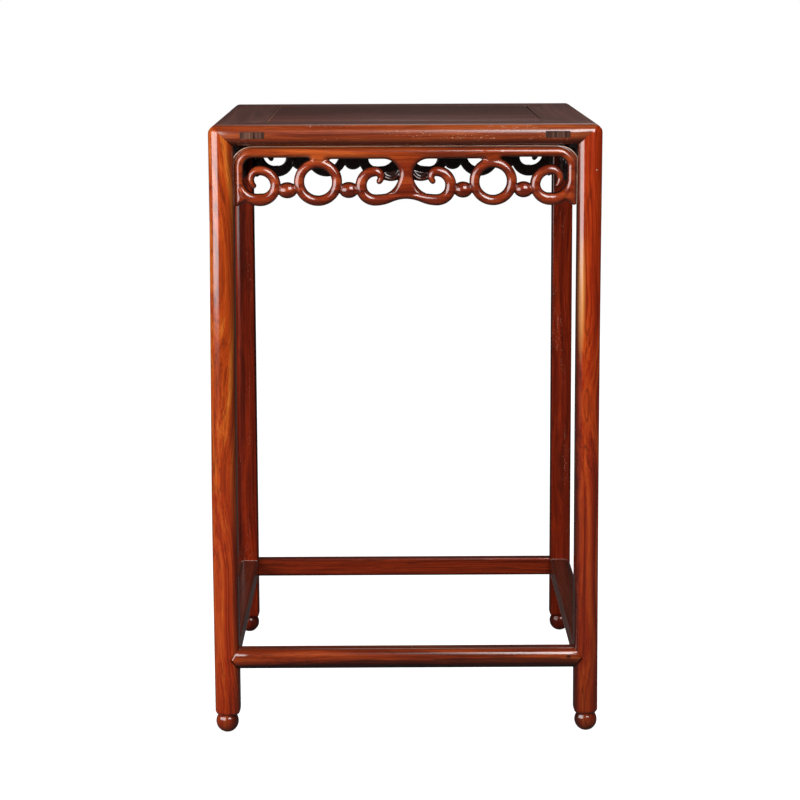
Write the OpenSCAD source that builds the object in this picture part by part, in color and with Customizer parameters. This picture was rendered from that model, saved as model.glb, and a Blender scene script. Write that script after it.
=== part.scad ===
// Square hardwood stand of mortise and tenon construction: four legs on ball feet, a mitred top frame
// round a floating panel, four openwork aprons carved round on the front, and four low stretchers.
// Millimetres, +Z up, origin on the floor under the middle of the stand, front towards -Y.

/* [Overall] */
// Width of the stand, left to right
stand_w = 480; // [450:5:540]
// Depth of the stand, front to back
stand_d = 480; // [450:5:540]
// Height of the top above the floor
stand_h = 763; // [600:1:900]
// Radius of the outer edges of the top and of the outer corner of each leg
outer_r = 8; // [5:0.5:9]
// Radius of the other edges of the rounded outer faces
face_r = 8; // [5:0.5:9]

/* [Legs and ball feet] */
// Side of the square leg
leg_w = 29.5; // [27:0.5:34]
// Radius of the inner corner of a leg
leg_inner_r = 3; // [1:0.5:5]
// Height of the foot under the leg
foot_h = 24; // [22:0.5:27]
// Diameter of the ball
ball_d = 28.2; // [26:0.2:30]
// How much of the ball is cut flat where it stands
ball_flat = 0.4; // [0.2:0.1:1]
// Diameter of the neck between ball and leg
neck_d = 23.6; // [20:0.2:25]
// Width of the chamfer round the bottom of the leg
leg_chamfer_w = 2; // [0.5:0.5:3]
// Height of the chamfer round the bottom of the leg
leg_chamfer_h = 4; // [1:0.5:6]

/* [Top frame] */
// Width of a rail, seen from above
rail_w = 74; // [64:1:84]
// Height of a rail
rail_h = 25.5; // [24:0.5:29]
// Width of the through tenon of a side rail
rail_tenon_w = 30; // [22:1:30]
// Thickness of the through tenon of a side rail
rail_tenon_t = 8; // [6:0.5:8]
// Distance from the outer side face to the through tenon
rail_tenon_inset = 40; // [36:1:42]
// Length of the wedge driven into a through tenon
wedge_l = 12; // [8:1:16]
// Thickness of the wedge at its outer end
wedge_t = 1.8; // [1:0.1:2.4]
// Thickness of the wedge at its inner end
wedge_tip_t = 0.6; // [0.4:0.1:0.8]

/* [Leg tenons] */
// Side of the square tenons on top of a leg
leg_tenon_w = 8; // [5:0.5:9]
// Distance from the outer face to a leg tenon
leg_tenon_inset = 7; // [6:0.5:8]
// Distance from the inner face of the leg to a leg tenon
leg_tenon_back = 2.5; // [1.5:0.5:4]
// Wood left above the long leg tenon in the front and back rails
long_tenon_cover = 6; // [5:0.5:9]
// Wood left above the short leg tenon in the side rails
short_tenon_cover = 9; // [6:0.5:12]

/* [Top panel and battens] */
// Thickness of the panel
panel_t = 12; // [10:0.5:14]
// Thickness of the tongue round the panel
panel_tongue_t = 4.5; // [3:0.5:5]
// Length of the tongue round the panel
panel_tongue_l = 7; // [5:0.5:9]
// Wood above the tongue
panel_lip = 3; // [2:0.5:4]
// Open seam between panel and rail
panel_seam = 0.8; // [0.6:0.1:1.2]
// How far the dried-out panel has crept to the left in its grooves
panel_shift = 0.6; // [0:0.1:0.6]
// Width of a batten under the panel
batten_w = 22; // [16:1:28]
// Height of a batten below the panel
batten_h = 12; // [10:0.5:13]
// Depth of the dovetail that holds the batten in the panel
dovetail_h = 4; // [2:0.5:5]
// Widening of the dovetail on each side
dovetail_flare = 2; // [1:0.5:3]
// Distance of each batten from the middle of the panel
batten_x = 72; // [50:1:100]
// Length of the stub tenon at each end of a batten
batten_tenon_l = 8; // [5:0.5:12]
// Height of the stub tenon at each end of a batten
batten_tenon_h = 7; // [5:0.5:8]

/* [Aprons] */
// Thickness of an apron
apron_t = 15; // [13:0.5:17]
// Distance from the outer face of the stand to the crown of an apron
apron_setback = 7; // [5:0.5:8]
// Open joint between rail and apron
apron_gap = 1; // [0.6:0.1:2]
// Open joint between leg and apron
apron_reveal = 0.5; // [0.2:0.1:0.9]
// Height of an apron from its top edge to its lowest scroll
apron_drop = 73; // [70:0.5:76]
// Height of the crown on the carved front
crown_h = 4; // [2.5:0.5:4.5]
// Outer radius where the bar turns down at each end
bar_r = 17.5; // [15:0.5:20]
// Width of the bar, the scrolls and the rings
band_w = 12.4; // [11:0.2:13]
// Width of the strip of the side bar that runs on down the leg
side_strip_w = 9; // [7:0.5:10]
// Outside diameter of the two rings
ring_d = 58; // [54:0.5:60]
// Width of the neck that joins a ring to the bar
ring_neck_w = 18; // [12:0.5:22]
// Diameter of the beads
bead_d = 19.8; // [17:0.2:21]
// Diameter of the pins that hold the beads
bead_pin_d = 10.5; // [6:0.5:11]
// Distance from the top edge of the apron to the middle of the beads
bead_drop = 54; // [50:0.5:58]
// Outside diameter of the two end scrolls
end_scroll_d = 49.5; // [46:0.5:52]
// Distance from the middle of the side bar to the centre of an end scroll
end_scroll_x = 26.4; // [25:0.2:29]
// Outside diameter of the hook inside an end scroll
end_hook_d = 31; // [28:0.5:34]
// Turn of the hook inside an end scroll, from its top
end_hook_turn = 118; // [90:1:130]
// Outside diameter of the two scrolls in the middle
mid_scroll_d = 47.8; // [44:0.2:50]
// Distance from the middle of the apron to the centre of each middle scroll
mid_scroll_x = 38.3; // [36:0.1:42]
// Outside diameter of the hook of a middle scroll
mid_hook_d = 26.5; // [26:0.5:28]
// Turn of the hook of a middle scroll, from its top
mid_hook_turn = 130; // [100:1:140]
// Height of the link that ties the hook of a middle scroll to the stem
link_w = 8; // [6:0.5:10]
// Distance from the top edge of the apron to the middle of that link
link_drop = 38; // [36:0.5:41]
// Radius of the sweep from a middle scroll to the stem
sweep_r = 100; // [80:1:130]
// Width of the stem in the middle
stem_w = 16; // [12:0.1:18]
// Radius of the fillets at the two ends of the stem
stem_fillet_r = 17; // [8:0.5:18]
// Thickness of the tongue that holds an apron under its rail
apron_tongue_t = 5; // [4:0.5:6]
// Depth of that tongue in the rail
apron_tongue_h = 4; // [3:0.5:5]
// Distance from the top edge of an apron to its side tenons
apron_tenon_drop = 20; // [20:1:26]
// Height of the side tenons that hold an apron between its legs
apron_tenon_h = 28; // [18:1:36]
// Depth of the side tenons in the legs
apron_tenon_l = 5; // [3:0.5:6]

/* [Stretchers] */
// Height of a stretcher
stretcher_h = 24; // [22:0.5:28]
// Depth of a stretcher
stretcher_d = 23; // [21:0.5:26]
// Height of the underside of the stretchers above the floor
stretcher_z = 84; // [60:1:140]
// Radius of the inner edges of a stretcher
stretcher_inner_r = 2; // [1:0.5:4]
// Length of the pointed shoulder let into the face of the leg
shoulder_l = 9.5; // [7:0.5:11]
// Thickness of the pointed shoulder
shoulder_t = 7; // [5:0.5:8]
// Length of a stretcher tenon in the leg
stretcher_tenon_l = 10; // [7:0.5:11]
// Thickness of a stretcher tenon
stretcher_tenon_t = 7; // [5:0.5:8]
// Height of a stretcher tenon
stretcher_tenon_h = 14; // [10:0.5:18]
// Distance from the outer face to a stretcher tenon
stretcher_tenon_inset = 10; // [9:0.5:11]

/* [Joints] */
// Clearance on each side of a tenon or tongue
fit = 0.2; // [0.1:0.05:0.3]
// Clearance at the end of a hidden tenon or tongue
end_room = 0.6; // [0.3:0.1:1]

/* [Hidden] */
$fn = 96;
// How far a cutting shape runs past the wood that it cuts
over = 1;
// How far a lesser surface of the carving lies below its neighbour
step = 0.8;
rosewood = [0.56, 0.22, 0.10];
dark_rosewood = [0.40, 0.15, 0.08];
top_brown = [0.30, 0.21, 0.20];
under_wood = [0.42, 0.26, 0.16];
wedge_wood = [0.66, 0.47, 0.30];
rail_z = stand_h - rail_h;
rail_tenon_z = rail_z + (rail_h - rail_tenon_t) / 2;
// Where the 45 degree mitre of leg and rail meets the top or the outer face
mitre_x = max(leg_w - rail_h, 0);
mitre_z = min(stand_h, rail_z + leg_w);
panel_w = stand_w - 2 * rail_w - 2 * panel_seam;
panel_d = stand_d - 2 * rail_w - 2 * panel_seam;
panel_z = stand_h - panel_t;
panel_tongue_z = stand_h - panel_lip - panel_tongue_t;
batten_z = panel_z - batten_h;
batten_neck_w = batten_w - 2 * dovetail_flare;
batten_tenon_z = batten_z + (batten_h - batten_tenon_h) / 2;
apron_z = rail_z - apron_gap;
apron_tongue_y = apron_setback + crown_h + (apron_t - crown_h - apron_tongue_t) / 2;
// Rise of the sweep from a middle scroll to the stem
sweep_rise = arc_rise(sweep_r - band_w / 2, mid_scroll_x);
stretcher_mid_z = stretcher_z + stretcher_h / 2;
stretcher_tenon_z = stretcher_mid_z - stretcher_tenon_h / 2;

// Places a member that is drawn with its outer face at y = 0 and its middle at x = 0, on the
// front (0), right (1), back (2) or left (3) of the stand.
module on_side(side) {
    rotate([0, 0, 90 * side])
        translate([0, -(side % 2 == 0 ? stand_d : stand_w) / 2, 0])
            children();
}

// Rise of an arc of radius r at the distance x from its lowest point
function arc_rise(r, x) = r - sqrt(r * r - x * x);

// Length of the stand along one side
function span(side) = side % 2 == 0 ? stand_w : stand_d;

// Places a member that is drawn with the outer corner of the stand at the origin.
module in_corner(x_side, y_side) {
    translate([x_side * stand_w / 2, y_side * stand_d / 2, 0])
        mirror([x_side > 0 ? 1 : 0, 0, 0])
            mirror([0, y_side > 0 ? 1 : 0, 0])
                children();
}

// Draws a shape at both ends of a member that is symmetric about x = 0.
module both_ends() {
    children();
    mirror([1, 0, 0])
        children();
}

// Draws a shape on both outer faces of a leg.
module both_faces() {
    children();
    mirror([1, -1, 0])
        children();
}

// Extrudes an outline drawn as (x, z) along +Y from y = start.
module along_y(start, length) {
    translate([0, start + length, 0])
        rotate([90, 0, 0])
            linear_extrude(length)
                children();
}

// Extrudes an outline drawn as (y, z) along +X from x = start.
module along_x(start, length) {
    translate([start, 0, 0])
        rotate([90, 0, 90])
            linear_extrude(length)
                children();
}

// What rounding takes off a square corner at the origin
module corner_waste(r) {
    difference() {
        translate([-over, -over])
            square(r + over);
        translate([r, r])
            circle(r);
    }
}

// Rectangle with a radius of its own at each corner, counterclockwise from the origin
module round_rect(size, radii) {
    difference() {
        square(size);
        corner_waste(radii[0]);
        translate([size.x, 0])
            rotate(90)
                corner_waste(radii[1]);
        translate(size)
            rotate(180)
                corner_waste(radii[2]);
        translate([0, size.y])
            rotate(270)
                corner_waste(radii[3]);
    }
}

// Legs

// Outline of a leg seen square to one of its outer faces, with its mitre at the top
module leg_elevation() {
    difference() {
        polygon([
            [leg_chamfer_w, foot_h],
            [leg_w - leg_chamfer_w, foot_h],
            [leg_w, foot_h + leg_chamfer_h],
            [leg_w, rail_z],
            [mitre_x, mitre_z],
            [0, mitre_z],
            [0, foot_h + leg_chamfer_h]
        ]);
        translate([0, stand_h])
            rotate(270)
                corner_waste(outer_r);
    }
}

module ball_foot() {
    intersection() {
        translate([0, 0, ball_d / 2 - ball_flat])
            sphere(d = ball_d);
        cylinder(d = ball_d + 2 * over, h = foot_h);
    }
    translate([0, 0, ball_d / 2])
        cylinder(d = neck_d, h = foot_h - ball_d / 2);
}

// Tenon on the mitred top of a leg, for the rail on the front or back
module leg_tenon(top, room = 0) {
    translate([leg_w - leg_tenon_back - leg_tenon_w - room, leg_tenon_inset - room, rail_z - over])
        cube([leg_tenon_w + 2 * room, leg_tenon_w + 2 * room, top - rail_z + over]);
}

// Pointed shoulder of a stretcher where it is let into the face of a leg
module shoulder_housing() {
    along_y(-over, shoulder_t + over)
        polygon([
            [leg_w - shoulder_l, stretcher_mid_z],
            [leg_w, stretcher_z],
            [leg_w + over, stretcher_z],
            [leg_w + over, stretcher_z + stretcher_h],
            [leg_w, stretcher_z + stretcher_h]
        ]);
}

module stretcher_mortise() {
    translate([
        leg_w - stretcher_tenon_l - end_room,
        stretcher_tenon_inset - fit,
        stretcher_tenon_z - fit
    ])
        cube([
            stretcher_tenon_l + end_room + over,
            stretcher_tenon_t + 2 * fit,
            stretcher_tenon_h + 2 * fit
        ]);
}

module apron_mortise() {
    translate([
        leg_w - apron_tenon_l - end_room,
        apron_tongue_y - fit,
        apron_z - apron_tenon_drop - apron_tenon_h - fit
    ])
        cube([
            apron_tenon_l + end_room + over,
            apron_tongue_t + 2 * fit,
            apron_tenon_h + 2 * fit
        ]);
}

module leg(x_side, y_side) {
    in_corner(x_side, y_side) {
        difference() {
            intersection() {
                linear_extrude(stand_h)
                    round_rect([leg_w, leg_w], [outer_r, face_r, leg_inner_r, face_r]);
                along_y(-over, leg_w + 2 * over)
                    leg_elevation();
                along_x(-over, leg_w + 2 * over)
                    leg_elevation();
            }
            both_faces() {
                shoulder_housing();
                stretcher_mortise();
                apron_mortise();
            }
        }
        leg_tenon(stand_h - long_tenon_cover);
        mirror([1, -1, 0])
            leg_tenon(stand_h - short_tenon_cover);
        translate([leg_w / 2, leg_w / 2, 0])
            ball_foot();
    }
}

module leg_front_left() {
    color(rosewood)
        leg(-1, -1);
}

module leg_front_right() {
    color(rosewood)
        leg(1, -1);
}

module leg_back_left() {
    color(rosewood)
        leg(-1, 1);
}

module leg_back_right() {
    color(rosewood)
        leg(1, 1);
}

// Top frame

// Rail with its mitres, before any joint is cut in it
module rail_blank(length) {
    half = length / 2;
    intersection() {
        along_x(-half, length)
            translate([0, rail_z])
                round_rect([rail_w, rail_h], [face_r, 0, 0, outer_r]);
        translate([0, 0, rail_z - over])
            linear_extrude(rail_h + 2 * over)
                difference() {
                    polygon([[-half, 0], [half, 0], [half - rail_w, rail_w], [rail_w - half, rail_w]]);
                    both_ends()
                        translate([-half, 0])
                            corner_waste(outer_r);
                }
        along_y(-over, rail_w + 2 * over)
            polygon([
                [leg_w - half, rail_z],
                [half - leg_w, rail_z],
                [half - mitre_x, mitre_z],
                [half - mitre_x, stand_h],
                [mitre_x - half, stand_h],
                [mitre_x - half, mitre_z]
            ]);
    }
}

// Groove for the tongue of the panel, in the frame of the whole stand
module panel_groove() {
    groove_w = stand_w - 2 * rail_w + 2 * (panel_tongue_l + panel_shift + end_room);
    groove_d = stand_d - 2 * rail_w + 2 * (panel_tongue_l + end_room);
    translate([-groove_w / 2, -groove_d / 2, panel_tongue_z])
        cube([groove_w, groove_d, panel_tongue_t + 2 * fit]);
}

module apron_groove(length) {
    run = apron_tongue_run(length) + 2 * fit;
    translate([-run / 2, apron_tongue_y - fit, rail_z - over])
        cube([run, apron_tongue_t + 2 * fit, apron_tongue_h + end_room + over]);
}

// Rail on the front or back, with the mortises for the side rails and battens
module mortised_rail(side) {
    half = span(side) / 2;
    difference() {
        on_side(side)
            difference() {
                rail_blank(span(side));
                apron_groove(span(side));
                both_ends() {
                    translate([-half, 0, 0])
                        leg_tenon(stand_h - long_tenon_cover + end_room, fit);
                    translate([rail_tenon_inset - half - fit, -over, rail_tenon_z - fit])
                        cube([
                            rail_tenon_w + 2 * fit,
                            rail_w + 2 * over,
                            rail_tenon_t + 2 * fit
                        ]);
                    translate([
                        -batten_x - batten_neck_w / 2 - fit,
                        rail_w - batten_tenon_l - end_room,
                        batten_tenon_z - fit
                    ])
                        cube([
                            batten_neck_w + 2 * fit,
                            batten_tenon_l + end_room + over,
                            batten_tenon_h + 2 * fit
                        ]);
                }
            }
        panel_groove();
    }
}

// Rail on the right or left, with the through tenons that show on the front and back
module tenoned_rail(side) {
    half = span(side) / 2;
    tenon_end = rail_tenon_inset + rail_tenon_w;
    difference() {
        on_side(side)
            difference() {
                union() {
                    rail_blank(span(side));
                    both_ends()
                        translate([-half, rail_tenon_inset, rail_tenon_z])
                            cube([tenon_end, rail_tenon_w, rail_tenon_t]);
                }
                apron_groove(span(side));
                both_ends() {
                    translate([-half, 0, 0])
                        leg_tenon(stand_h - short_tenon_cover + end_room, fit);
                    translate([-half, 0, 0])
                        wedge();
                }
            }
        panel_groove();
    }
}

module rail_front() {
    color(rosewood)
        mortised_rail(0);
}

module rail_back() {
    color(rosewood)
        mortised_rail(2);
}

module rail_left() {
    color(rosewood)
        tenoned_rail(3);
}

module rail_right() {
    color(rosewood)
        tenoned_rail(1);
}

// Wedge that spreads a through tenon, at the end of a side rail
module wedge() {
    translate([0, rail_tenon_inset + rail_tenon_w / 2, rail_tenon_z])
        linear_extrude(rail_tenon_t)
            polygon([
                [0, -wedge_t / 2],
                [wedge_l, -wedge_tip_t / 2],
                [wedge_l, wedge_tip_t / 2],
                [0, wedge_t / 2]
            ]);
}

module tenon_wedges() {
    color(wedge_wood)
        for (side = [1, 3])
            on_side(side)
                both_ends()
                    translate([-span(side) / 2, 0, 0])
                        wedge();
}

// Top panel and battens

module batten_section(room = 0) {
    polygon([
        [-batten_neck_w / 2 - room, batten_z],
        [batten_neck_w / 2 + room, batten_z],
        [batten_neck_w / 2 + room, panel_z],
        [batten_w / 2 + room, panel_z + dovetail_h + room],
        [-batten_w / 2 - room, panel_z + dovetail_h + room],
        [-batten_neck_w / 2 - room, panel_z]
    ]);
}

module top_panel() {
    tongue_w = panel_w + 2 * panel_seam + 2 * panel_tongue_l;
    tongue_d = panel_d + 2 * panel_seam + 2 * panel_tongue_l;
    color(top_brown)
        difference() {
            translate([-panel_shift, 0, 0]) {
                translate([-panel_w / 2, -panel_d / 2, panel_z])
                    cube([panel_w, panel_d, panel_t]);
                translate([-tongue_w / 2, -tongue_d / 2, panel_tongue_z])
                    cube([tongue_w, tongue_d, panel_tongue_t]);
            }
            for (x = [-batten_x, batten_x])
                translate([x, 0, 0])
                    along_y(-panel_d / 2 - over, panel_d + 2 * over)
                        batten_section(fit);
        }
}

// Batten held in a dovetail across the panel and tenoned into the front and back rails
module batten(x) {
    length = stand_d - 2 * rail_w;
    tenon_length = length + 2 * batten_tenon_l;
    color(under_wood)
        translate([x, 0, 0]) {
            along_y(-panel_d / 2, panel_d)
                batten_section();
            translate([-batten_neck_w / 2, -length / 2, batten_z])
                cube([batten_neck_w, length, batten_h - fit]);
            translate([-batten_neck_w / 2, -tenon_length / 2, batten_tenon_z])
                cube([batten_neck_w, tenon_length, batten_tenon_h]);
        }
}

module batten_left() {
    batten(-batten_x);
}

module batten_right() {
    batten(batten_x);
}

// Aprons: drawn flat, with the top edge at y = 0 and the back at z = 0, then stood up

function apron_length(length) = length - 2 * leg_w - 2 * apron_reveal;

function apron_tongue_run(length) = apron_length(length) - 2 * bar_r;

// Section of a carved bar or band: flat back, square sides and a crowned front
module band_section(width, thickness) {
    crown_r = (width * width / 4 + crown_h * crown_h) / (2 * crown_h);
    side_h = thickness - crown_h;
    translate([-width / 2, 0])
        square([width, side_h - step / 2]);
    intersection() {
        translate([0, thickness - crown_r])
            circle(crown_r);
        translate([-width / 2, side_h - step])
            square([width, crown_h + 2 * step]);
    }
}

// Carved band along an arc of the given outside diameter, counterclockwise
module arc_band(outside_d, from, turn) {
    rotate(from)
        rotate_extrude(angle = turn)
            translate([outside_d / 2 - band_w / 2, 0])
                band_section(band_w, apron_t);
}

// Straight carved bar along +X, with its middle line on y = 0
module straight_band(length, width = band_w, thickness = apron_t) {
    rotate([90, 0, 90])
        linear_extrude(length)
            band_section(width, thickness);
}

// Round boss with a bevelled front
module boss(width, thickness) {
    cylinder(d = width, h = thickness - crown_h);
    translate([0, 0, thickness - crown_h])
        cylinder(d1 = width, d2 = width / 2, h = crown_h);
}

// Hook of a scroll: an arc that runs left from its top, with a rounded tip
module hook(outside_d, turn) {
    middle_r = outside_d / 2 - band_w / 2;
    arc_band(outside_d, 90, turn);
    translate([middle_r * cos(90 + turn), middle_r * sin(90 + turn), 0])
        boss(band_w - 2 * step, apron_t - step);
}

// Frame bar along the top, round both corners and down the legs into the end scrolls
module apron_bar(half) {
    inside = half - bar_r;
    turn_r = end_scroll_x + band_w / 2;
    translate([-inside, -band_w / 2, 0])
        straight_band(2 * inside);
    both_ends() {
        translate([inside, -bar_r, 0])
            arc_band(2 * bar_r, 0, 90);
        translate([half - band_w / 2, turn_r - apron_drop, 0])
            rotate(90)
                straight_band(apron_drop - bar_r - turn_r);
        translate([half - band_w / 2 - end_scroll_x, turn_r - apron_drop, 0])
            arc_band(2 * turn_r, 270, 90);
        translate([half - step - side_strip_w / 2, -apron_drop, 0])
            rotate(90)
                straight_band(turn_r + step, side_strip_w, apron_t - 2 * step);
    }
}

// Scroll beside the leg: from its lowest point up the inner side, with a hook inside
module end_scroll() {
    arc_band(end_scroll_d, 90, 180);
    translate([0, (end_scroll_d - end_hook_d) / 2, 0])
        mirror([1, 0, 0])
            hook(end_hook_d, end_hook_turn);
}

// Scroll beside the stem: from the stem along the bottom and up the outside, with a hook inside
module mid_scroll() {
    arc_band(mid_scroll_d, 270, 180);
    translate([0, (mid_scroll_d - mid_hook_d) / 2, 0])
        hook(mid_hook_d, mid_hook_turn);
    translate([0, sweep_r - mid_scroll_d / 2, 0])
        mirror([1, 0, 0])
            arc_band(2 * sweep_r, 270, asin((mid_scroll_x - 2 * step) / (sweep_r - band_w / 2)));
}

// Low link from the stem to the hook of a middle scroll, set back from the carved front
module hook_link() {
    near = stem_w / 2 - 2 * step;
    far = mid_scroll_x - mid_hook_d / 3;
    translate([near, -link_drop - link_w / 2, 0])
        cube([far - near, link_w, apron_t - crown_h - 2 * step]);
}

// Hollow fillet in the corner at the origin between +X and +Y
module stem_fillet() {
    linear_extrude(apron_t - crown_h - step)
        difference() {
            translate([-band_w / 2, -band_w / 2])
                square(stem_fillet_r + band_w / 2);
            translate([stem_fillet_r, stem_fillet_r])
                circle(stem_fillet_r + step);
        }
}

// Bead between two bands, cut flat at the back, on a pin that reaches into both bands
module bead(gap) {
    intersection() {
        translate([0, 0, apron_t - bead_d / 2])
            sphere(d = bead_d);
        cylinder(d = bead_d + 2 * over, h = apron_t + over);
    }
    translate([-gap / 2 - band_w / 2, 0, (apron_t - crown_h) / 2])
        rotate([0, 90, 0])
            cylinder(d = bead_pin_d, h = gap + band_w);
}

// Right-hand half of the openwork inside the bar
module apron_openwork(half) {
    end_x = half - band_w / 2 - end_scroll_x;
    end_edge = end_x - end_scroll_d / 2;
    mid_edge = mid_scroll_x + mid_scroll_d / 2;
    ring_x = (end_edge + mid_edge) / 2;
    gap = (end_edge - mid_edge - ring_d) / 2;
    stem_foot = band_w + arc_rise(sweep_r - band_w, mid_scroll_x - stem_w / 2) - apron_drop;
    translate([end_x, end_scroll_d / 2 - apron_drop, 0])
        end_scroll();
    translate([mid_scroll_x, mid_scroll_d / 2 - apron_drop, 0])
        mid_scroll();
    translate([ring_x, ring_d / 2 - apron_drop, 0])
        arc_band(ring_d, 0, 360);
    translate([ring_x - ring_neck_w / 2, ring_d - apron_drop - band_w / 2, 0])
        cube([ring_neck_w, apron_drop - ring_d, apron_t - crown_h - step]);
    for (side = [-1, 1])
        translate([ring_x + side * (ring_d + gap) / 2, -bead_drop, 0])
            bead(gap);
    hook_link();
    translate([stem_w / 2, stem_foot, 0])
        stem_fillet();
    translate([stem_w / 2, -band_w, 0])
        mirror([0, 1, 0])
            stem_fillet();
}

// Stem between the middle scrolls, with a boss where the scrolls run into it
module apron_stem() {
    foot = apron_drop - band_w / 2 - sweep_rise;
    translate([0, -foot, 0])
        rotate(90)
            straight_band(foot - band_w / 2, stem_w, apron_t - step);
    translate([0, -foot, 0])
        boss(stem_w + 2 * step, apron_t + step / 2);
}

module apron_shape(length) {
    half = apron_length(length) / 2;
    tongue_run = apron_tongue_run(length);
    tongue_z = (apron_t - crown_h - apron_tongue_t) / 2;
    apron_bar(half);
    both_ends()
        apron_openwork(half);
    apron_stem();
    translate([-tongue_run / 2, -band_w / 2, tongue_z])
        cube([tongue_run, band_w / 2 + apron_gap + apron_tongue_h, apron_tongue_t]);
    both_ends()
        translate([half - band_w / 2, -apron_tenon_drop - apron_tenon_h, tongue_z])
            cube([band_w / 2 + apron_reveal + apron_tenon_l, apron_tenon_h, apron_tongue_t]);
}

module apron(side) {
    color(rosewood)
        on_side(side)
            translate([0, apron_setback + apron_t, apron_z])
                rotate([90, 0, 0])
                    apron_shape(span(side));
}

module apron_front() {
    apron(0);
}

module apron_back() {
    apron(2);
}

module apron_left() {
    apron(3);
}

module apron_right() {
    apron(1);
}

// Stretchers

module stretcher(side) {
    half = span(side) / 2 - leg_w;
    tip = half + shoulder_l;
    top = stretcher_z + stretcher_h;
    color(dark_rosewood)
        on_side(side) {
            intersection() {
                along_x(-tip, 2 * tip)
                    translate([0, stretcher_z])
                        round_rect(
                            [stretcher_d, stretcher_h],
                            [face_r, stretcher_inner_r, stretcher_inner_r, face_r]
                        );
                union() {
                    along_y(-over, shoulder_t + over)
                        polygon([
                            [-half, stretcher_z],
                            [half, stretcher_z],
                            [tip, stretcher_mid_z],
                            [half, top],
                            [-half, top],
                            [-tip, stretcher_mid_z]
                        ]);
                    translate([-half, shoulder_t - over, stretcher_z])
                        cube([2 * half, stretcher_d, stretcher_h]);
                }
            }
            translate([-half - stretcher_tenon_l, stretcher_tenon_inset, stretcher_tenon_z])
                cube([2 * (half + stretcher_tenon_l), stretcher_tenon_t, stretcher_tenon_h]);
        }
}

module stretcher_front() {
    stretcher(0);
}

module stretcher_back() {
    stretcher(2);
}

module stretcher_left() {
    stretcher(3);
}

module stretcher_right() {
    stretcher(1);
}

leg_front_left();
leg_front_right();
leg_back_left();
leg_back_right();
rail_front();
rail_back();
rail_left();
rail_right();
top_panel();
batten_left();
batten_right();
tenon_wedges();
apron_front();
apron_back();
apron_left();
apron_right();
stretcher_front();
stretcher_back();
stretcher_left();
stretcher_right();
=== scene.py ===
"""Looks of a square hardwood stand: rounded legs and rails, carved openwork aprons, polished rosewood.

Every piece is drawn in millimetres in the frame of the stand (+Z up, front towards -Y) and stored in metres.
"""
import math
from functools import reduce

import bmesh
import bpy
import numpy as np
from mathutils import Matrix, Vector


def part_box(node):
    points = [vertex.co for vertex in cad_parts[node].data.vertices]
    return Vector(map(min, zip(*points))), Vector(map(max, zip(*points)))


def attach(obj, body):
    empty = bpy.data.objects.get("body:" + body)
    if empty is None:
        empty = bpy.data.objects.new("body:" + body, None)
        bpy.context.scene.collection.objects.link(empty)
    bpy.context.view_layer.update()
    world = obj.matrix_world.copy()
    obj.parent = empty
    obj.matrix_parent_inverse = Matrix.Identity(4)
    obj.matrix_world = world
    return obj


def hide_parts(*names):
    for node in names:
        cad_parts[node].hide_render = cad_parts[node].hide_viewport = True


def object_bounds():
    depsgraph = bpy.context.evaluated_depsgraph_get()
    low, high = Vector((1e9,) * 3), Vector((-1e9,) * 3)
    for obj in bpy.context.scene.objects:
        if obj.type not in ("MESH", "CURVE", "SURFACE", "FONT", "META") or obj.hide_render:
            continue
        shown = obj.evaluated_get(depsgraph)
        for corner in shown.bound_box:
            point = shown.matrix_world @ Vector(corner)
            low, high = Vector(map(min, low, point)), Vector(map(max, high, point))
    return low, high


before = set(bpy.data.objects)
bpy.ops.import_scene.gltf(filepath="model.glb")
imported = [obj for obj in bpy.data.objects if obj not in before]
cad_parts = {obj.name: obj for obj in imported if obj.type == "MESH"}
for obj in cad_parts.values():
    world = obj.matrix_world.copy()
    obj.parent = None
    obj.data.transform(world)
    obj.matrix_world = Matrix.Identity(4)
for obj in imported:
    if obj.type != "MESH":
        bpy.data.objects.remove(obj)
cad_box = [list(corner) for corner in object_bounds()]

MM = 0.001
SIDES = ("front", "right", "back", "left")


def box_mm(node):
    """Lowest and highest corner of a CAD node, in millimetres."""
    return [np.array(corner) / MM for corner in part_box(node)]


# Sizes that the frame gives
stand_w, stand_d, stand_h = (np.array(cad_box[1]) - np.array(cad_box[0])) / MM
leg_low, leg_high = box_mm("leg_front_left")
leg_w = leg_high[0] - leg_low[0]
rail_low, rail_high = box_mm("rail_left")
rail_w = rail_high[0] - rail_low[0]
rail_z = rail_low[2]
wedge_low, wedge_high = box_mm("tenon_wedges")
apron_low, apron_high = box_mm("apron_front")
stretcher_low, stretcher_high = box_mm("stretcher_front")
stretcher_d = stretcher_high[1] - stretcher_low[1]
panel_low, panel_high = box_mm("top_panel")

# Rounding of the members, in millimetres and degrees
OUTER_R = 11.5
FACE_R = 9.0
LEG_INNER_R = 3.0
RAIL_INNER_R = 0.8
STRETCHER_INNER_R = 2.0
STRETCHER_LOWER_R = 3.5
CROWN = 2.0
ARRIS = 0.35
LEG_TOP_TURN = 85.0
RAIL_END_TURN = 15.0

# Points along an outline, and rings along a member
ARC_STEPS = 10
FLAT_STEPS = 8
TENON_STEPS = 4
BALL_RINGS = 22
CHAMFER_RINGS = 5
LEG_RINGS = 14
EDGE_RINGS = 8
RAIL_RINGS = 12
STRETCHER_RINGS = 16

# How far a cutter reaches past what it cuts
OVER = 5.0

# How the old stand has settled: inward lean of the front left leg by height, bow of the front right one
LEAN = ((0, -0.4), (290, -1.2), (420, -0.2), (650, 1.7), (763, 1.4))
BOW = 1.1
SETTLED_FROM = 100.0

# Ball feet
FOOT_H = 24.0
BALL_R = 14.1
BALL_FLAT = 0.4
NECK_R = 11.8
LEG_CHAMFER_W = 2.0
LEG_CHAMFER_H = 4.0

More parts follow.
